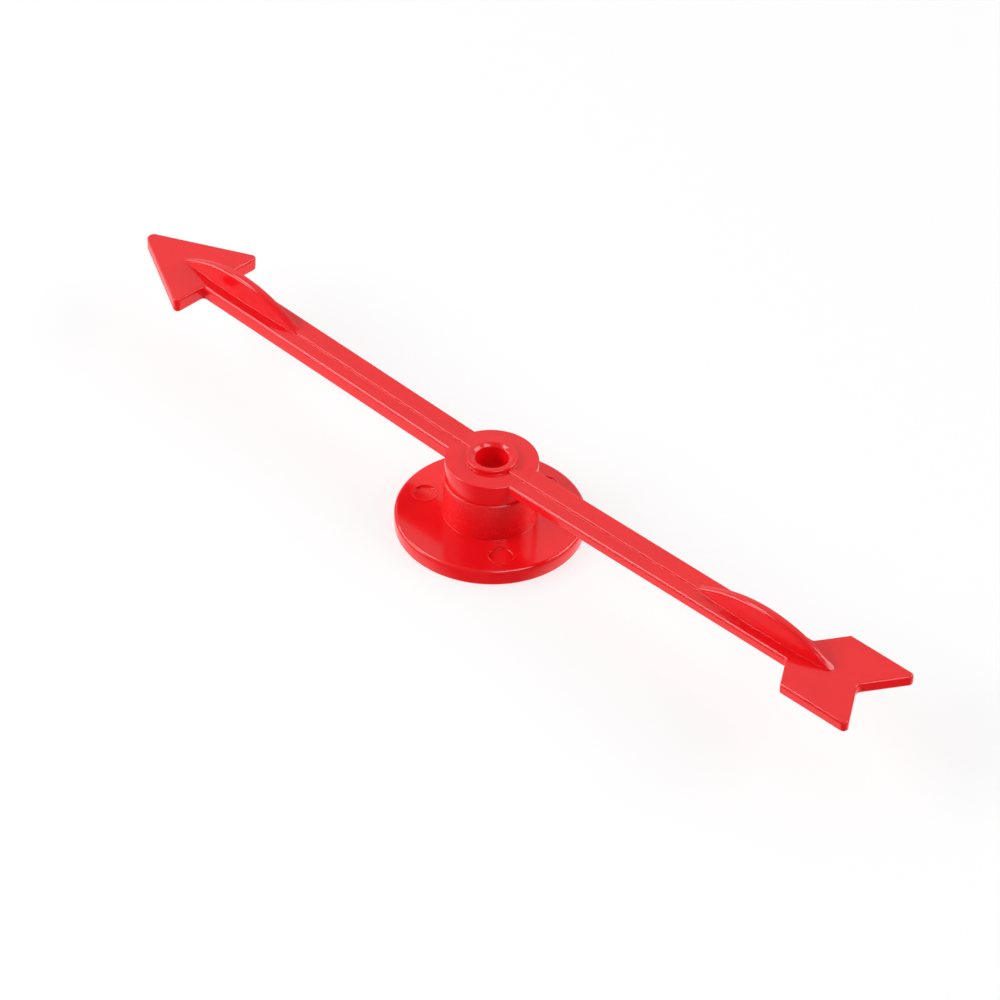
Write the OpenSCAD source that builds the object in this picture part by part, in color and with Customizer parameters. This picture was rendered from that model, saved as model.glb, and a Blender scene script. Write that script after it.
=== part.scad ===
// Two piece game spinner: a pointer arrow that turns in a flanged base.
// Origin on the spin axis, on the flat underside of the base flange.
// +X runs along the arrow towards its point, +Z is up, away from the board.

/* [Arrow] */
// Overall length from the point of the head to the rear tips of the tail
arrow_l = 101.6; // [80:0.1:130]
// Width of the straight arm
arm_w = 3.93; // [3:0.01:5]
// Thickness of the arm and plate on the head side
head_side_t = 1.6; // [1.2:0.05:2]
// Thickness of the arm and plate on the tail side
tail_side_t = 1.15; // [0.8:0.05:2]
// Angle by which each arm rises from the rim of the hub to its end
arm_rise = 1.05; // [0:0.05:2]

/* [Head] */
// Length of the triangular head from its rear edge to the rounded point
head_l = 10.6; // [8:0.1:14]
// Width of the head across the barbs, corners taken as sharp
head_w = 12; // [9:0.1:15]
// Radius of the rounded point
head_point_r = 0.7; // [0.4:0.05:1.2]
// Radius of the two barb corners
head_barb_r = 0.5; // [0.2:0.05:0.9]

/* [Tail] */
// Length of one side edge of the tail plate
tail_l = 8; // [6:0.1:11]
// Width of the tail plate
tail_w = 10.2; // [8:0.1:14]
// Depth of the V notch, the front edges lean back by the same amount
tail_sweep = 3.3; // [2:0.05:4]
// Radius of the rear corners of the tail plate
tail_rear_r = 0.5; // [0.2:0.05:0.8]
// Radius of the front corners of the tail plate
tail_front_r = 0.25; // [0.1:0.05:0.8]
// Radius at the bottom of the V notch
notch_r = 0.8; // [0.3:0.05:1]

/* [Rib and finger fins] */
// Width of the low rib along the centre of both arms
rib_w = 0.8; // [0.6:0.05:1.2]
// Height of the low rib above the arm
rib_h = 0.2; // [0.1:0.01:0.3]
// Length of each finger fin at the arm surface
fin_l = 17.2; // [12:0.1:20]
// Height of each finger fin above the arm
fin_h = 2.3; // [1.5:0.05:3.5]
// Width of each finger fin at the middle of its foot
fin_w = 1.5; // [1:0.05:1.9]
// Width of each finger fin where its foot ends
fin_end_w = 0.8; // [0.5:0.05:0.9]
// Lean of the side walls of the fins
fin_draft = 5; // [1:0.5:8]
// Distance from the spin axis to the middle of each fin
fin_x = 36.4; // [30:0.1:38]

/* [Hub and stub] */
// Diameter of the hub disc
hub_d = 9.4; // [8.2:0.1:12]
// Thickness of the hub disc
hub_t = 2.25; // [1.8:0.05:3]
// Outside diameter of the raised lip around the centre hole
lip_d = 5.25; // [4.6:0.05:6]
// Height of the raised lip above the hub
lip_h = 0.45; // [0.3:0.05:0.8]
// Diameter of the centre hole through the arrow
hole_d = 3.3; // [2.8:0.05:3.8]
// Width of the flared mouth of the centre hole
mouth_w = 0.4; // [0.1:0.05:0.5]
// Depth of the flared mouth of the centre hole
mouth_depth = 0.25; // [0.1:0.05:0.4]
// Diameter of the stub that turns in the base
stub_d = 6; // [5:0.05:7]
// Length of the stub below the hub
stub_l = 2.85; // [2:0.05:4]

/* [Base] */
// Diameter of the flange
flange_d = 19.3; // [15:0.1:24]
// Thickness of the flange
flange_t = 1.7; // [1.2:0.05:2.5]
// Height of the collar above the flange
collar_h = 4.3; // [3.4:0.05:6]
// Outside diameter of the collar
collar_d = 9.6; // [8.4:0.1:12]
// Width of the chamfer on the rim of the collar
collar_chamfer = 0.25; // [0.1:0.05:0.5]
// Width of the slope on the rim of the flange
flange_chamfer = 0.3; // [0.1:0.05:0.5]
// Depth of the slightly wider mouth of the bore
counterbore_h = 0.8; // [0.5:0.05:1.2]
// Extra radius of the mouth of the bore
counterbore_step = 0.08; // [0.05:0.01:0.2]

/* [Ejector marks] */
// Diameter of each round recess in the top of the flange
mark_d = 2.35; // [1.5:0.05:2.8]
// Depth of each round recess
mark_h = 0.15; // [0.05:0.01:0.3]
// Distance from the spin axis to the middle of each recess
mark_x = 7.05; // [6.8:0.05:7.4]
// Angle from +X to the first recess
mark_turn = 23.3; // [0:0.1:119.9]

/* [Fits] */
// Radial gap between the stub and the bore
run_gap = 0.05; // [0.02:0.01:0.09]
// Height of the gap between the hub and the collar
seat_gap = 0.05; // [0.02:0.01:0.2]

/* [Hidden] */
$fn = 96;

MARKS = 3;
// facets of the preview for the very wide arcs of the fins
FINE = 720;
// overlap that joins two touching solids
OVER = 0.02;
// reach of a cutter past the surface it opens
PASS = 1;
// depth to which the foot of a rib or fin is buried
SINK = 0.3;
arm_half = arm_w / 2;
bore_d = stub_d + 2 * run_gap;
base_h = flange_t + collar_h;
hub_z = base_h + seat_gap;
top_z = hub_z + hub_t;
hub_r = hub_d / 2;
end_x = arrow_l / 2;
head_back = end_x - head_l;
head_half = head_w / 2;
tail_front = end_x - tail_l;
tail_half = tail_w / 2;
// sharp rear corners lie far enough back for the rounded ones to give the overall length
rear_x = end_x + tail_rear_r * (1 / tan(atan(tail_half / tail_sweep) / 2) - 1);
// the sides of the head run from the barbs to touch the circle of the point, and would meet beyond it
point_back = [head_l - head_point_r, head_half];
point_lean = atan(point_back.y / point_back.x) - asin(head_point_r / norm(point_back));
point_x = end_x + head_point_r * (1 / sin(point_lean) - 1);
// finger fin: one arc in side view and two arcs in plan
fin_arc_r = (fin_l * fin_l / 4 + fin_h * fin_h) / (2 * fin_h);
fin_bow = (fin_w - fin_end_w) / 2;
fin_plan_r = (fin_l * fin_l / 4 + fin_bow * fin_bow) / (2 * fin_bow);
fin_lean = fin_h * tan(fin_draft);

function toward(a, b) = (b - a) / norm(b - a);
function half_angle(a, b, c) = acos(toward(b, a) * toward(b, c)) / 2;
function before(points, i) = points[(i + len(points) - 1) % len(points)];
function after(points, i) = points[(i + 1) % len(points)];
// distance from corner i to where its arc of radius r starts
function reach(points, i, r) = r / tan(half_angle(before(points, i), points[i], after(points, i)));
// middle of the arc of radius r that rounds corner i
function arc_middle(points, i, r) =
    let (
        a = before(points, i),
        b = points[i],
        c = after(points, i),
        inwards = toward([0, 0], toward(b, a) + toward(b, c))
    )
    b + inwards * r / sin(half_angle(a, b, c));

// flat outline whose outer corners (r > 0) and inner corners (r < 0) are rounded by true arcs
module rounded_outline(points, radii) {
    corners = [0 : len(points) - 1];
    difference() {
        union() {
            polygon([
                for (i = corners, to = [before(points, i), after(points, i)])
                    points[i] + reach(points, i, abs(radii[i])) * toward(points[i], to)
            ]);
            for (i = corners)
                if (radii[i] > 0)
                    translate(arc_middle(points, i, radii[i]))
                        circle(r = radii[i]);
        }
        for (i = corners)
            if (radii[i] < 0)
                translate(arc_middle(points, i, -radii[i]))
                    circle(r = -radii[i]);
    }
}

module head_outline() {
    rounded_outline(
        [[point_x, 0], [head_back, head_half], [head_back, -head_half]],
        [head_point_r, head_barb_r, head_barb_r]
    );
}

module tail_outline() {
    rounded_outline(
        [
            [tail_sweep - tail_front, 0],
            [-tail_front, tail_half],
            [-rear_x, tail_half],
            [tail_sweep - rear_x, 0],
            [-rear_x, -tail_half],
            [-tail_front, -tail_half]
        ],
        [notch_r, tail_front_r, tail_rear_r, -notch_r, tail_rear_r, tail_front_r]
    );
}

// swings one half of the arrow up about the rim of the hub, side is 1 for the head and -1 for the tail
module raised(side) {
    translate([side * hub_r, 0, top_z])
        rotate([0, -side * arm_rise, 0])
            translate([-side * hub_r, 0, 0])
                children();
}

// one finger fin standing on the arm surface at z = 0
module finger_fin() {
    intersection() {
        translate([0, 0, fin_h - fin_arc_r])
            rotate([90, 0, 0])
                cylinder(r = fin_arc_r, h = 2 * fin_w, center = true, $fn = FINE);
        two_walls();
        translate([-fin_l, -fin_w, -SINK])
            cube([2 * fin_l, 2 * fin_w, SINK + fin_h]);
    }
}

module two_walls() {
    intersection() {
        fin_wall(1);
        fin_wall(-1);
    }
}

// a very wide cone whose flank is one leaning, slightly bowed side wall of the fin
module fin_wall(side) {
    translate([0, side * (fin_plan_r - fin_w / 2), -SINK])
        cylinder(
            r1 = fin_plan_r + SINK * tan(fin_draft),
            r2 = fin_plan_r - fin_lean,
            h = SINK + fin_h,
            $fn = FINE
        );
}

// flat parts of one half of the arrow: arm, plate, low rib and fin, lying below z = 0
module half_arrow(side, thick, plate_x) {
    translate([side > 0 ? 0 : -plate_x, -arm_half, -thick])
        cube([plate_x, arm_w, thick]);
    translate([0, 0, -thick])
        linear_extrude(height = thick)
            if (side > 0)
                head_outline();
            else
                tail_outline();
    translate([side > 0 ? 0 : -fin_x, -rib_w / 2, -SINK])
        cube([fin_x, rib_w, SINK + rib_h]);
    translate([side * fin_x, 0, 0])
        finger_fin();
}

module arrow() {
    color("#e8262b")
        difference() {
            union() {
                raised(1)
                    half_arrow(1, head_side_t, head_back + OVER);
                raised(-1)
                    half_arrow(-1, tail_side_t, tail_front);
                translate([0, 0, hub_z])
                    cylinder(d = hub_d, h = hub_t);
                translate([0, 0, hub_z - stub_l])
                    cylinder(d = stub_d, h = stub_l + OVER);
                translate([0, 0, top_z - OVER])
                    cylinder(d = lip_d, h = lip_h + OVER);
            }
            translate([0, 0, hub_z - stub_l - PASS])
                cylinder(d = hole_d, h = stub_l + hub_t + lip_h + 2 * PASS);
            translate([0, 0, top_z + lip_h - mouth_depth])
                cylinder(d1 = hole_d, d2 = hole_d + 4 * mouth_w, h = 2 * mouth_depth);
        }
}

module base() {
    color("#e8262b")
        difference() {
            rotate_extrude()
                polygon([
                    [bore_d / 2, 0],
                    [flange_d / 2, 0],
                    [flange_d / 2, flange_t - flange_chamfer],
                    [flange_d / 2 - flange_chamfer, flange_t],
                    [collar_d / 2, flange_t],
                    [collar_d / 2, base_h - collar_chamfer],
                    [collar_d / 2 - collar_chamfer, base_h],
                    [bore_d / 2 + counterbore_step, base_h],
                    [bore_d / 2 + counterbore_step, base_h - counterbore_h],
                    [bore_d / 2, base_h - counterbore_h]
                ]);
            for (i = [0 : MARKS - 1])
                rotate(mark_turn + i * 360 / MARKS)
                    translate([mark_x, 0, flange_t - mark_h])
                        cylinder(d = mark_d, h = mark_h + PASS);
        }
}

base();
arrow();
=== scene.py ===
"""Looks of a two piece game spinner: a red moulded arrow on a red moulded flanged base.

Sizes are in millimetres in the CAD frame: origin on the spin axis at the flange's underside,
+X towards the arrow's point and +Z up. Meshes are scaled to metres when they are made.
"""

import math

import bmesh
import bpy
from mathutils import Matrix, Vector


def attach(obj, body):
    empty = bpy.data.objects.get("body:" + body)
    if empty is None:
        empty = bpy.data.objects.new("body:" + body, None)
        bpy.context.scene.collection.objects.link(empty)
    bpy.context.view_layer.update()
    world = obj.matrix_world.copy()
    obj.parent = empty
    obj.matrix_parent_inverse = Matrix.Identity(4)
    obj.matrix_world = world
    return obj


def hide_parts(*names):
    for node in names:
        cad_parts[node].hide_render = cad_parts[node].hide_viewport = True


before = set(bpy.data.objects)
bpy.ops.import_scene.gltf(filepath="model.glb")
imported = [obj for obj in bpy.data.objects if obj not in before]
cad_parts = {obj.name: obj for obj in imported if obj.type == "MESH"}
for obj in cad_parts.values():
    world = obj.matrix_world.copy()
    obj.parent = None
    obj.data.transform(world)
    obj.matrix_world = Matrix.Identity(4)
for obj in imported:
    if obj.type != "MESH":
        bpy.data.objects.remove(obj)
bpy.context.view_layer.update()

MM = 0.001

# ---------------------------------------------------------------- sizes, as in the CAD
ARROW_L = 101.6
ARM_W = 3.93
HEAD_SIDE_T = 1.6
TAIL_SIDE_T = 1.15
ARM_RISE = 1.05
HEAD_L = 10.6
HEAD_W = 12.0
HEAD_POINT_R = 0.7
HEAD_BARB_R = 0.5
TAIL_L = 8.0
TAIL_W = 10.2
TAIL_SWEEP = 3.3
TAIL_REAR_R = 0.5
TAIL_FRONT_R = 0.25
NOTCH_R = 0.8
RIB_W = 0.8
RIB_H = 0.2
FIN_L = 17.2
FIN_H = 2.3
FIN_W = 1.5
FIN_END_W = 0.8
FIN_DRAFT = 5.0
FIN_X = 36.4
HUB_D = 9.4
HUB_T = 2.25
LIP_D = 5.25
LIP_H = 0.45
HOLE_D = 3.3
MOUTH_W = 0.4
MOUTH_DEPTH = 0.25
STUB_D = 6.0
STUB_L = 2.85
FLANGE_D = 19.3
FLANGE_T = 1.7
COLLAR_H = 4.3
COLLAR_D = 9.6
COUNTERBORE_H = 0.8
COUNTERBORE_STEP = 0.08
MARKS = 3
MARK_D = 2.35
MARK_H = 0.15
MARK_X = 7.05
MARK_TURN = 23.3
RUN_GAP = 0.05
SEAT_GAP = 0.05

BORE_D = STUB_D + 2 * RUN_GAP
BASE_H = FLANGE_T + COLLAR_H
HUB_Z = BASE_H + SEAT_GAP
TOP_Z = HUB_Z + HUB_T
HUB_R = HUB_D / 2
END_X = ARROW_L / 2
HEAD_BACK = END_X - HEAD_L
TAIL_FRONT = END_X - TAIL_L

# ---------------------------------------------------------------- finishing radii of the arrow
PLATE_EDGE_R = 0.25
JUNCTION_R = 0.35
HUB_TOP_R = 0.1
HUB_BOTTOM_R = 0.12
LIP_FOOT_R = 0.05
LIP_CREST_R = 0.13
MOUTH_R = 0.2
HOLE_END_R = 0.05
STUB_END_R = 0.06
STUB_TOP_R = 0.08
RIDGE_FOOT_R = 0.03
RIDGE_CROWN_R = 0.33

# ---------------------------------------------------------------- rib and fins
# a ridge is the low rib with its finger fin; depth to which its foot is buried in the plate
RIDGE_SUNK = 0.3
# where the rib starts, inside the lip
RIDGE_START = 2.2
# length over which the far end of a fin is rounded off in plan, and the square of its width there
FIN_END_ROUND = 0.5
FIN_END_SQUARE = 0.02
# least height of a ridge
RIDGE_MIN_H = 0.02
# power of the soft maximum that lets the rib swell into the fin
SWELL = 4
# limits that keep the fillets inside a low or narrow section, as shares of its height or width
FOOT_R_SHARE = 0.4
TOP_SHARE = 0.5
CROWN_H_SHARE = 0.45
CROWN_W_SHARE = 0.75

# ---------------------------------------------------------------- finishing radii of the base
BORE_FOOT_R = 0.1
FLANGE_FOOT_R = 0.2
FLANGE_RIM_R = 0.35
COLLAR_FOOT_R = 0.04
COLLAR_RIM_R = 0.3
BORE_RIM_R = 0.1
STEP_R = 0.05
STEP_SLOPE = 0.08

# ---------------------------------------------------------------- ejector marks
MARK_FLOOR_R = 0.08
# height above the flange to which the cutter of a mark reaches
MARK_CUT_TOP = 0.5
# faint raised ring around each mark: overlap with the mark, width, depth and height
RING_OVERLAP = 0.02
RING_W = 0.2
RING_DEPTH = 0.1
RING_H = 0.035
RING_R = 0.03

# ---------------------------------------------------------------- fineness of the meshes
ARC_STEPS = 8
SMALL_ARC_STEPS = 4
RIDGE_STEPS = 6
LATHE_STEPS = 256
FIN_STATIONS = 72
CREASE_ANGLE = 32
FLAT_FACE_WEIGHT = 100
# corners closer to straight than this stay as they are
STRAIGHT = 1e-6


# ---------------------------------------------------------------- flat geometry
def unit(x, y):
    length = math.hypot(x, y)
    return x / length, y / length


def rounded(points, radii, steps=ARC_STEPS):
    """Closed polyline with each corner replaced by an arc of its own radius; 0 keeps it sharp."""
    out = []
    count = len(points)
    for i, (x, y) in enumerate(points):
        radius = radii[i]
        ax, ay = points[i - 1]
        bx, by = points[(i + 1) % count]
        ux, uy = unit(ax - x, ay - y)
        vx, vy = unit(bx - x, by - y)
        half = math.acos(max(-1.0, min(1.0, ux * vx + uy * vy))) / 2
        if radius <= 0 or abs(half - math.pi / 2) < STRAIGHT:
            out.append((x, y))
            continue
        mx, my = unit(ux + vx, uy + vy)
        cx = x + mx * radius / math.sin(half)
        cy = y + my * radius / math.sin(half)
        reach = radius / math.tan(half)
        start = math.atan2(y + uy * reach - cy, x + ux * reach - cx)
        end = math.atan2(y + vy * reach - cy, x + vx * reach - cx)
        turn = (end - start + math.pi) % (2 * math.pi) - math.pi
        for k in range(steps + 1):
            angle = start + turn * k / steps
            out.append((cx + radius * math.cos(angle), cy + radius * math.sin(angle)))
    return out


def inset(outline, distance):
    """Moves a counter-clockwise outline inwards by a small distance."""
    out = []
    count = len(outline)
    for i, (x, y) in enumerate(outline):
        ax, ay = outline[i - 1]
        bx, by = outline[(i + 1) % count]
        ux, uy = unit(x - ax, y - ay)
        vx, vy = unit(bx - x, by - y)
        nx, ny = -uy - vy, ux + vx
        share = 1 + ux * vx + uy * vy
        out.append((x + distance * nx / share, y + distance * ny / share))
    return out


# ---------------------------------------------------------------- mesh building
def make_object(name, vertices, faces):
    mesh = bpy.data.meshes.new(name)
    mesh.from_pydata([[c * MM for c in v] for v in vertices], [], faces)
    shape = bmesh.new()
    shape.from_mesh(mesh)
    bmesh.ops.recalc_face_normals(shape, faces=shape.faces)
    shape.to_mesh(mesh)
    shape.free()
    obj = bpy.data.objects.new(name, mesh)
    bpy.context.scene.collection.objects.link(obj)
    return obj


def skin(name, rings):
    """Closed solid through rings of equal length, with a flat face on the first and last ring."""
    count = len(rings[0])
    vertices = [p for ring in rings for p in ring]
    faces = [list(range(count)), list(range(len(vertices) - count, len(vertices)))]
    for i in range(len(rings) - 1):
        for k in range(count):
            n = (k + 1) % count
            faces.append([i * count + k, i * count + n, (i + 1) * count + n, (i + 1) * count + k])
    return make_object(name, vertices, faces)


def plate(name, outline, thick, edge_r):
    """Flat plate with its top at z = 0 and rounded top and bottom edges."""
    rings = []
    for z, sign in ((-thick, -1), (0.0, 1)):
        angles = [math.pi / 2 * k / ARC_STEPS for k in range(ARC_STEPS + 1)]
        if sign < 0:
            angles = angles[::-1]
        for a in angles:
            ring = inset(outline, edge_r * (1 - math.cos(a)))
            height = z - sign * edge_r * (1 - math.sin(a))
            rings.append([(x, y, height) for x, y in ring])
    return skin(name, rings)


def lathe(name, profile):
    """Ring shaped solid: a closed profile of (radius, height) turned about the z axis."""
    vertices = []
    for i in range(LATHE_STEPS):
        a = 2 * math.pi * i / LATHE_STEPS
        vertices += [(r * math.cos(a), r * math.sin(a), z) for r, z in profile]
    count = len(profile)
    faces = []
    for i in range(LATHE_STEPS):
        j = (i + 1) % LATHE_STEPS
        for k in range(count):
            n = (k + 1) % count
            faces.append([i * count + k, j * count + k, j * count + n, i * count + n])
    return make_object(name, vertices, faces)


def transform(obj, matrix):
    moved = Matrix.Scale(MM, 4) @ matrix @ Matrix.Scale(1 / MM, 4)
    obj.data.transform(moved)
    obj.data.update()
    return obj


def combine(body, tool, operation):
    """Exact boolean of two solids; the tool is used up."""
    step = body.modifiers.new("join", "BOOLEAN")
    step.operation = operation
    step.solver = "EXACT"
    step.object = tool
    depsgraph = bpy.context.evaluated_depsgraph_get()
    result = bpy.data.meshes.new_from_object(body.evaluated_get(depsgraph))
    body.modifiers.clear()
    old = body.data
    body.data = result
    bpy.data.meshes.remove(old)
    bpy.data.objects.remove(tool)
    return body


def finish_surface(obj):
    """Smooth shading with true creases, and flat faces kept flat."""
    mesh = obj.data
    mesh.polygons.foreach_set("use_smooth", [True] * len(mesh.polygons))
    mesh.set_sharp_from_angle(angle=math.radians(CREASE_ANGLE))
    weighted = obj.modifiers.new("flat_faces", "WEIGHTED_NORMAL")
    weighted.keep_sharp = True
    weighted.weight = FLAT_FACE_WEIGHT


# ---------------------------------------------------------------- arrow
def head_outline():
    half = HEAD_W / 2
    arm = ARM_W / 2
    back = HEAD_L - HEAD_POINT_R
    lean = math.atan2(half, back) - math.asin(HEAD_POINT_R / math.hypot(back, half))
    point_x = END_X + HEAD_POINT_R * (1 / math.sin(lean) - 1)
    start = LIP_D / 2
    points = [
        (start, -arm),
        (HEAD_BACK, -arm),
        (HEAD_BACK, -half),
        (point_x, 0.0),
        (HEAD_BACK, half),
        (HEAD_BACK, arm),
        (start, arm),
    ]
    radii = [0, JUNCTION_R, HEAD_BARB_R, HEAD_POINT_R, HEAD_BARB_R, JUNCTION_R, 0]
    return rounded(points, radii)


def tail_outline():
    half = TAIL_W / 2
    arm = ARM_W / 2
    rear = END_X + TAIL_REAR_R * (1 / math.tan(math.atan(half / TAIL_SWEEP) / 2) - 1)
    junction = TAIL_FRONT - TAIL_SWEEP * (1 - arm / half)
    start = LIP_D / 2
    points = [
        (-start, arm),
        (-junction, arm),
        (-TAIL_FRONT, half),
        (-rear, half),
        (TAIL_SWEEP - rear, 0.0),
        (-rear, -half),
        (-TAIL_FRONT, -half),
        (-junction, -arm),
        (-start, -arm),
    ]
    radii = [
        0,
        JUNCTION_R,
        TAIL_FRONT_R,
        TAIL_REAR_R,
        NOTCH_R,
        TAIL_REAR_R,
        TAIL_FRONT_R,
        JUNCTION_R,
        0,
    ]
    return rounded(points, radii)


def ridge_section(height, foot, lean):
    """Cross-section of the rib or fin as (y, z) points; foot is the half width of its walls at z = 0."""
    fillet = min(RIDGE_FOOT_R, FOOT_R_SHARE * height)
    top = max(foot - height * lean, TOP_SHARE * foot)
    crown = min(RIDGE_CROWN_R, CROWN_H_SHARE * height, CROWN_W_SHARE * top)
    half = [(foot + fillet, -RIDGE_SUNK)]
    for k in range(RIDGE_STEPS + 1):
        a = math.pi / 2 * k / RIDGE_STEPS
        half.append((foot + fillet - fillet * math.sin(a), fillet - fillet * math.cos(a)))
    for k in range(RIDGE_STEPS + 1):
        a = math.pi / 2 * k / RIDGE_STEPS
        half.append((top - crown + crown * math.cos(a), height - crown + crown * math.sin(a)))
    return half + [(-y, z) for y, z in reversed(half)]


def ridge(name, side):
    """Low rib from the hub lip that swells into the finger fin and ends with it."""
    arc_r = (FIN_L**2 / 4 + FIN_H**2) / (2 * FIN_H)
    bow = (FIN_W - FIN_END_W) / 2
    plan_r = (FIN_L**2 / 4 + bow**2) / (2 * bow)
    lean = math.tan(math.radians(FIN_DRAFT))
    start = FIN_X - FIN_L / 2
    end = FIN_X + FIN_L / 2
    stations = [RIDGE_START]
    for k in range(FIN_STATIONS + 1):
        share = 0.5 - 0.5 * math.cos(math.pi * k / FIN_STATIONS)
        stations.append(start + (end - start) * share)
    rings = []
    for x in stations:
        off = min(abs(x - FIN_X), FIN_L / 2)
        arc_h = math.sqrt(arc_r**2 - off**2) - (arc_r - FIN_H)
        height = max(arc_h, RIDGE_MIN_H)
        foot = FIN_W / 2 - (plan_r - math.sqrt(plan_r**2 - off**2))
        if x < FIN_X:
            height = (arc_h**SWELL + RIB_H**SWELL) ** (1 / SWELL)
            foot = max(foot, RIB_W / 2)
        remaining = end - x
        if remaining < FIN_END_ROUND:
            foot *= math.sqrt(max(1 - (1 - remaining / FIN_END_ROUND) ** 2, FIN_END_SQUARE))
        section = ridge_section(height, foot, lean)
        rings.append([(side * x, y, z) for y, z in section])
    return skin(name, rings)


def raised(obj, side):
    swing = Matrix.Rotation(math.radians(-side * ARM_RISE), 4, "Y")
    place = Matrix.Translation((side * HUB_R, 0, TOP_Z))
    back = Matrix.Translation((-side * HUB_R, 0, 0))
    return transform(obj, place @ swing @ back)


def hub_profile():
    hole = HOLE_D / 2
    lip = LIP_D / 2
    stub = STUB_D / 2
    bottom = HUB_Z - STUB_L
    crest = TOP_Z + LIP_H
    points = [
        (hole, bottom),
        (stub, bottom),
        (stub, HUB_Z),
        (HUB_R, HUB_Z),
        (HUB_R, TOP_Z),
        (lip, TOP_Z),
        (lip, crest),
        (hole + MOUTH_W, crest),
        (hole, crest - MOUTH_DEPTH),
    ]
    radii = [
        HOLE_END_R,
        STUB_END_R,
        STUB_TOP_R,
        HUB_BOTTOM_R,
        HUB_TOP_R,
        LIP_FOOT_R,
        LIP_CREST_R,
        MOUTH_R,
        MOUTH_R,
    ]
    return rounded(points, radii)


def build_arrow():
    arrow = lathe("arrow_moulding", hub_profile())
    parts = [
        raised(plate("head_half", head_outline(), HEAD_SIDE_T, PLATE_EDGE_R), 1),
        raised(plate("tail_half", tail_outline(), TAIL_SIDE_T, PLATE_EDGE_R), -1),
        raised(ridge("head_ridge", 1), 1),
        raised(ridge("tail_ridge", -1), -1),
    ]
    for part in parts:
        combine(arrow, part, "UNION")
    finish_surface(arrow)
    return arrow


# ---------------------------------------------------------------- base
def base_profile():
    bore = BORE_D / 2
    mouth = bore + COUNTERBORE_STEP
    flange = FLANGE_D / 2
    collar = COLLAR_D / 2
    points = [
        (bore, 0.0),
        (flange, 0.0),
        (flange, FLANGE_T),
        (collar, FLANGE_T),
        (collar, BASE_H),
        (mouth, BASE_H),
        (mouth, BASE_H - COUNTERBORE_H),
        (bore, BASE_H - COUNTERBORE_H - STEP_SLOPE),
    ]
    radii = [
        BORE_FOOT_R,
        FLANGE_FOOT_R,
        FLANGE_RIM_R,
        COLLAR_FOOT_R,
        COLLAR_RIM_R,
        BORE_RIM_R,
        0,
        STEP_R,
    ]
    return rounded(points, radii)


def ring_profile():
    inner = MARK_D / 2 - RING_OVERLAP
    outer = MARK_D / 2 + RING_W
    points = [(inner, -RING_DEPTH), (outer, -RING_DEPTH), (outer, RING_H), (inner, RING_H)]
    return rounded(points, [0, 0, RING_R, RING_R], SMALL_ARC_STEPS)


def dish():
    """Solid disc with a rounded lower edge, which cuts one ejector mark."""
    r = MARK_D / 2
    half = rounded([(0, -MARK_H), (r, -MARK_H), (r, MARK_CUT_TOP)], [0, MARK_FLOOR_R, 0], SMALL_ARC_STEPS)
    angles = [2 * math.pi * k / LATHE_STEPS for k in range(LATHE_STEPS)]
    rings = [[(x * math.cos(a), x * math.sin(a), z) for a in angles] for x, z in half[1:]]
    return skin("mark_dish", rings)


def build_base():
    base = lathe("base_moulding", base_profile())
    for i in range(MARKS):
        turn = Matrix.Rotation(math.radians(MARK_TURN + i * 360 / MARKS), 4, "Z")
        place = turn @ Matrix.Translation((MARK_X, 0, FLANGE_T))
        combine(base, transform(lathe("mark_ring", ring_profile()), place), "UNION")
        combine(base, transform(dish(), place), "DIFFERENCE")
    finish_surface(base)
    return base


# ---------------------------------------------------------------- moulded plastic
RED = (0.90, 0.006, 0.010)
PLASTIC_IOR = 1.5
# a noise value lies mostly between these two
NOISE_SPAN = (0.3, 0.7)
# mottle: noise scale per metre, detail and the gain of the colour at both ends
MOTTLE_SCALE = 220
MOTTLE_DETAIL = 3
MOTTLE_GAIN = (0.96, 1.03)
# cloudy gloss
CLOUD_SCALE = 900
CLOUD_DETAIL = 4
CLOUD_ROUGH = 0.6
GLOSS_ROUGHNESS = (0.11, 0.17)
# ripple of the surface, bump distance in metres
RIPPLE_SCALE = 1400
RIPPLE_DETAIL = 3
BUMP_DISTANCE = 0.00001
BUMP_STRENGTH = 0.35
# grain on the collar, stretched along its height: added roughness and added ripple
GRAIN_SCALE = 9000
GRAIN_DETAIL = 4
GRAIN_ROUGH = 0.65
GRAIN_STRETCH = (1, 1, 0.35)
GRAIN_ROUGHNESS = (0.07, 0.16)
GRAIN_RIPPLE = (0, 2.6)
# soft borders of the grain: just outside the wall, just inside it, and just above the flange
MASK_OUTSIDE = (0.05, 0.15)
MASK_INSIDE = (-0.3, -0.1)
MASK_ABOVE = (0.1, 0.3)


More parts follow.
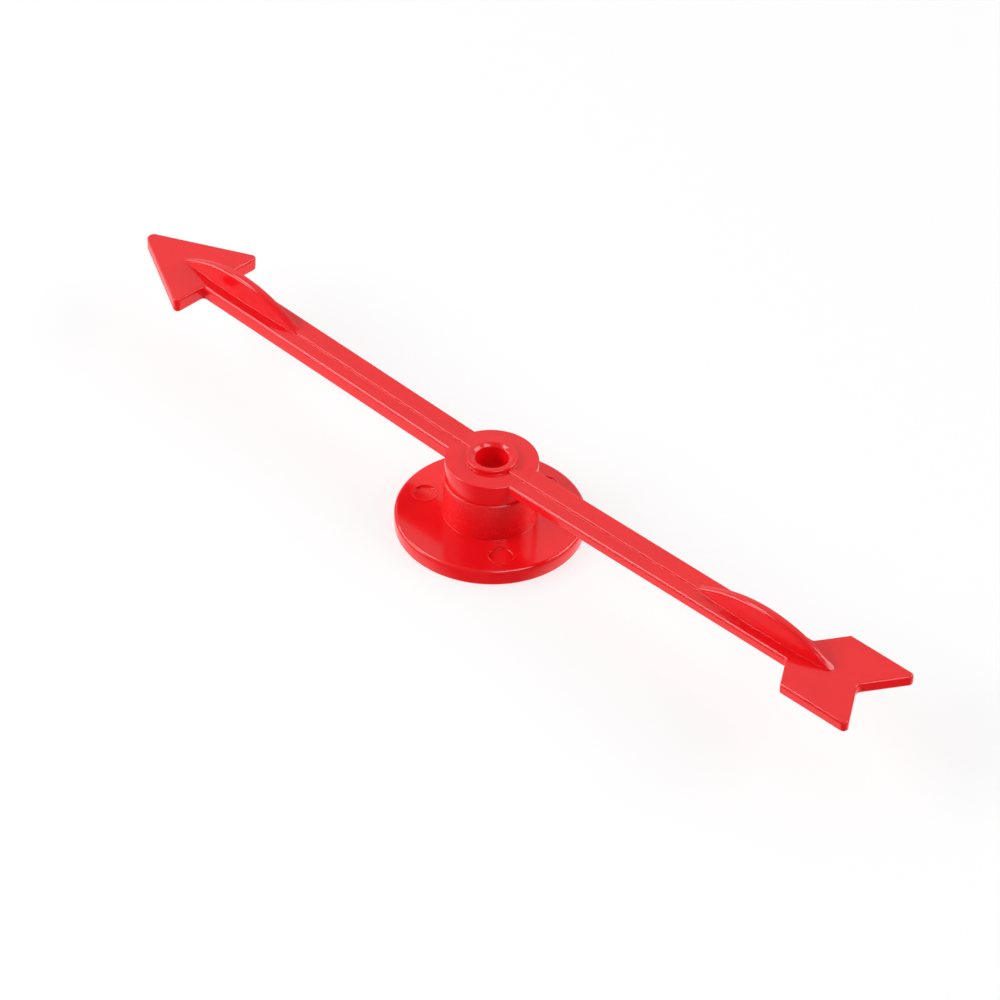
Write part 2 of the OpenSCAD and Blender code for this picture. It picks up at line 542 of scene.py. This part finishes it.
class Look:
    """One node material, with short calls for the nodes it is made of."""

    def __init__(self, name):
        self.material = bpy.data.materials.new(name)
        self.material.use_nodes = True
        self.nodes = self.material.node_tree.nodes
        self.links = self.material.node_tree.links
        self.shader = self.nodes["Principled BSDF"]
        self.coords = self.nodes.new("ShaderNodeTexCoord").outputs["Object"]

    def feed(self, socket, value):
        if isinstance(value, (int, float)):
            socket.default_value = value
        else:
            self.links.new(value, socket)

    def maths(self, operation, a, b=0.0):
        node = self.nodes.new("ShaderNodeMath")
        node.operation = operation
        self.feed(node.inputs[0], a)
        self.feed(node.inputs[1], b)
        return node.outputs["Value"]

    def spread(self, value, old, new):
        node = self.nodes.new("ShaderNodeMapRange")
        self.feed(node.inputs["Value"], value)
        for name, number in zip(("From Min", "From Max", "To Min", "To Max"), (*old, *new)):
            node.inputs[name].default_value = number
        return node.outputs["Result"]

    def noise(self, scale, detail, rough=0.5, stretch=(1, 1, 1)):
        place = self.nodes.new("ShaderNodeMapping")
        place.inputs["Scale"].default_value = stretch
        self.feed(place.inputs["Vector"], self.coords)
        node = self.nodes.new("ShaderNodeTexNoise")
        node.inputs["Scale"].default_value = scale
        node.inputs["Detail"].default_value = detail
        node.inputs["Roughness"].default_value = rough
        self.feed(node.inputs["Vector"], place.outputs["Vector"])
        return node.outputs["Fac"]

    def collar_mask(self):
        """1 on the outer wall of the collar, 0 elsewhere."""
        split = self.nodes.new("ShaderNodeSeparateXYZ")
        self.feed(split.inputs[0], self.coords)
        x, y, z = (split.outputs[axis] for axis in "XYZ")
        squares = self.maths("ADD", self.maths("MULTIPLY", x, x), self.maths("MULTIPLY", y, y))
        radius = self.maths("SQRT", squares)
        near = self.spread(radius, [(COLLAR_D / 2 + d) * MM for d in MASK_OUTSIDE], (1, 0))
        outside = self.spread(radius, [(COLLAR_D / 2 + d) * MM for d in MASK_INSIDE], (0, 1))
        above = self.spread(z, [(FLANGE_T + d) * MM for d in MASK_ABOVE], (0, 1))
        return self.maths("MULTIPLY", self.maths("MULTIPLY", near, above), outside)


def plastic(name, colour, satin_collar=False):
    """Glossy moulded plastic: faint mottle in the colour, cloudy gloss and a fine surface ripple."""
    look = Look(name)
    look.shader.inputs["IOR"].default_value = PLASTIC_IOR
    ramp = look.nodes.new("ShaderNodeValToRGB")
    for element, position, gain in zip(ramp.color_ramp.elements, NOISE_SPAN, MOTTLE_GAIN):
        element.position = position
        element.color = [min(c * gain, 1) for c in colour] + [1]
    look.feed(ramp.inputs["Fac"], look.noise(MOTTLE_SCALE, MOTTLE_DETAIL))
    look.feed(look.shader.inputs["Base Color"], ramp.outputs["Color"])
    clouds = look.noise(CLOUD_SCALE, CLOUD_DETAIL, CLOUD_ROUGH)
    roughness = look.spread(clouds, NOISE_SPAN, GLOSS_ROUGHNESS)
    ripple = look.noise(RIPPLE_SCALE, RIPPLE_DETAIL)
    if satin_collar:
        mask = look.collar_mask()
        grain = look.noise(GRAIN_SCALE, GRAIN_DETAIL, GRAIN_ROUGH, GRAIN_STRETCH)
        more_roughness = look.maths("MULTIPLY", mask, look.spread(grain, NOISE_SPAN, GRAIN_ROUGHNESS))
        more_ripple = look.maths("MULTIPLY", mask, look.spread(grain, (0, 1), GRAIN_RIPPLE))
        roughness = look.maths("ADD", roughness, more_roughness)
        ripple = look.maths("ADD", ripple, more_ripple)
    look.feed(look.shader.inputs["Roughness"], roughness)
    bump = look.nodes.new("ShaderNodeBump")
    bump.inputs["Distance"].default_value = BUMP_DISTANCE
    bump.inputs["Strength"].default_value = BUMP_STRENGTH
    look.feed(bump.inputs["Height"], ripple)
    look.feed(look.shader.inputs["Normal"], bump.outputs["Normal"])
    return look.material


def dress(obj, material, body, node):
    obj.data.materials.clear()
    obj.data.materials.append(material)
    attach(obj, body)
    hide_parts(node)


arrow_piece = build_arrow()
dress(arrow_piece, plastic("arrow_red", RED), "arrow", "arrow")
base_piece = build_base()
dress(base_piece, plastic("base_red", RED, satin_collar=True), "base", "base")


# ---------------------------------------------------------------- camera
# azimuth of the front of the studio, where the camera stands
FRONT = 133.40
CAMERA_ELEVATION = 39.22
CAMERA_ROLL = 1.89
CAMERA_DISTANCE = 428.09
CAMERA_AIM = (-5.10, 4.04, TOP_Z)
SENSOR = 36.0
LENS = 157.0
CLIP = (0.01, 10)

# ---------------------------------------------------------------- floor, in metres
FLOOR_SIZE = 3.0
FLOOR_Z = -0.00005
FLOOR_ALBEDO = 0.3
FLOOR_GLOW = 0.72
FLOOR_ROUGHNESS = 0.9

# ---------------------------------------------------------------- room light
# each pair of pairs spreads the first pair over the second one
# below the horizon, by how far a direction faces the front and by its height
LOWER_BY_FRONT = ((0.15, 0.6), (1.0, 0.06))
LOWER_BY_HEIGHT = ((-0.65, -0.5), (1.0, 0.35))
# above the horizon, by how far a direction faces the front
UPPER_BY_FRONT = ((-0.75, -0.1), (0.78, 0.22))
HORIZON = ((-0.03, 0.03), (0, 1))

# ---------------------------------------------------------------- light panels
# name, azimuth from the front, elevation, distance and size in metres, brightness, and whether
# the panel shows in the gloss or lights the colour
PANELS = [
    ("left_light", -84, 32, 0.5, (0.55, 0.2), 5.7, False),
    ("right_light", 80, 32, 0.9, (1.0, 0.36), 4.1, False),
    ("left_shine", -100, 22, 0.9, (0.76, 0.38), 5.0, True),
    ("left_top_shine", -121, 57, 0.9, (0.46, 0.24), 8.0, True),
    ("right_shine", 106, 38, 0.9, (0.5, 0.5), 4.5, True),
    ("front_shine", 38, 60, 0.9, (0.5, 0.42), 6.0, True),
]


def direction(azimuth, elevation):
    a, e = math.radians(azimuth), math.radians(elevation)
    return Vector((math.cos(e) * math.cos(a), math.cos(e) * math.sin(a), math.sin(e)))


def add_floor():
    """Pale sheet lit a little from below, kept out of the gloss and seen from above only."""
    bpy.ops.mesh.primitive_plane_add(size=FLOOR_SIZE, location=(0, 0, FLOOR_Z))
    floor = bpy.context.object
    floor.name = "floor"
    floor.visible_glossy = False
    material = bpy.data.materials.new("floor_white")
    material.use_nodes = True
    nodes, links = material.node_tree.nodes, material.node_tree.links
    shader = nodes["Principled BSDF"]
    shader.inputs["Base Color"].default_value = (FLOOR_ALBEDO, FLOOR_ALBEDO, FLOOR_ALBEDO, 1)
    shader.inputs["Roughness"].default_value = FLOOR_ROUGHNESS
    shader.inputs["Specular IOR Level"].default_value = 0.0
    shader.inputs["Emission Color"].default_value = (1, 1, 1, 1)
    shader.inputs["Emission Strength"].default_value = FLOOR_GLOW
    clear = nodes.new("ShaderNodeBsdfTransparent")
    sides = nodes.new("ShaderNodeMixShader")
    below = nodes.new("ShaderNodeNewGeometry").outputs["Backfacing"]
    links.new(below, sides.inputs["Fac"])
    links.new(shader.outputs["BSDF"], sides.inputs[1])
    links.new(clear.outputs["BSDF"], sides.inputs[2])
    links.new(sides.outputs["Shader"], nodes["Material Output"].inputs["Surface"])
    floor.data.materials.append(material)
    return floor


def add_world():
    """Soft room light: pale behind the object and at its sides, dark towards the front."""
    world = bpy.data.worlds.new("studio")
    bpy.context.scene.world = world
    world.use_nodes = True
    nodes, links = world.node_tree.nodes, world.node_tree.links
    coords = nodes.new("ShaderNodeTexCoord").outputs["Generated"]
    facing = nodes.new("ShaderNodeVectorMath")
    facing.operation = "DOT_PRODUCT"
    facing.inputs[1].default_value = direction(FRONT, 0)
    links.new(coords, facing.inputs[0])
    split = nodes.new("ShaderNodeSeparateXYZ")
    links.new(coords, split.inputs[0])

    def spread(value, old, new):
        node = nodes.new("ShaderNodeMapRange")
        links.new(value, node.inputs["Value"])
        for name, number in zip(("From Min", "From Max", "To Min", "To Max"), (*old, *new)):
            node.inputs[name].default_value = number
        return node.outputs["Result"]

    blend = nodes.new("ShaderNodeMix")
    links.new(spread(split.outputs["Z"], *HORIZON), blend.inputs["Factor"])
    lower = nodes.new("ShaderNodeMath")
    lower.operation = "MULTIPLY"
    links.new(spread(facing.outputs["Value"], *LOWER_BY_FRONT), lower.inputs[0])
    links.new(spread(split.outputs["Z"], *LOWER_BY_HEIGHT), lower.inputs[1])
    links.new(lower.outputs["Value"], blend.inputs["A"])
    links.new(spread(facing.outputs["Value"], *UPPER_BY_FRONT), blend.inputs["B"])
    background = nodes["Background"]
    background.inputs["Color"].default_value = (1, 1, 1, 1)
    links.new(blend.outputs["Result"], background.inputs["Strength"])


def add_panel(name, azimuth, elevation, away, size, brightness, glossy):
    """Area light of a given brightness, facing the object."""
    data = bpy.data.lights.new(name, "AREA")
    data.shape = "RECTANGLE"
    data.size, data.size_y = size
    data.energy = brightness * math.pi * size[0] * size[1]
    panel = bpy.data.objects.new(name, data)
    bpy.context.scene.collection.objects.link(panel)
    panel.visible_glossy = glossy
    panel.visible_diffuse = not glossy
    towards = direction(azimuth, elevation)
    panel.location = towards * away
    panel.rotation_euler = towards.to_track_quat("Z", "Y").to_euler()
    return panel


def add_camera():
    data = bpy.data.cameras.new("camera")
    data.sensor_width = SENSOR
    data.lens = LENS
    data.clip_start, data.clip_end = CLIP
    camera = bpy.data.objects.new("camera", data)
    bpy.context.scene.collection.objects.link(camera)
    away = direction(FRONT, CAMERA_ELEVATION)
    right = direction(FRONT + 90, 0)
    up = away.cross(right)
    roll = math.radians(CAMERA_ROLL)
    turned_right = right * math.cos(roll) + up * math.sin(roll)
    turned_up = up * math.cos(roll) - right * math.sin(roll)
    basis = Matrix((turned_right, turned_up, away)).transposed().to_4x4()
    place = Matrix.Translation((Vector(CAMERA_AIM) + away * CAMERA_DISTANCE) * MM)
    camera.matrix_world = place @ basis
    bpy.context.scene.camera = camera


add_floor()
add_world()
for panel_name, turn, elevation, away, size, brightness, glossy in PANELS:
    add_panel(panel_name, FRONT + turn, elevation, away, size, brightness, glossy)
add_camera()
bpy.context.scene.view_settings.view_transform = "Standard"
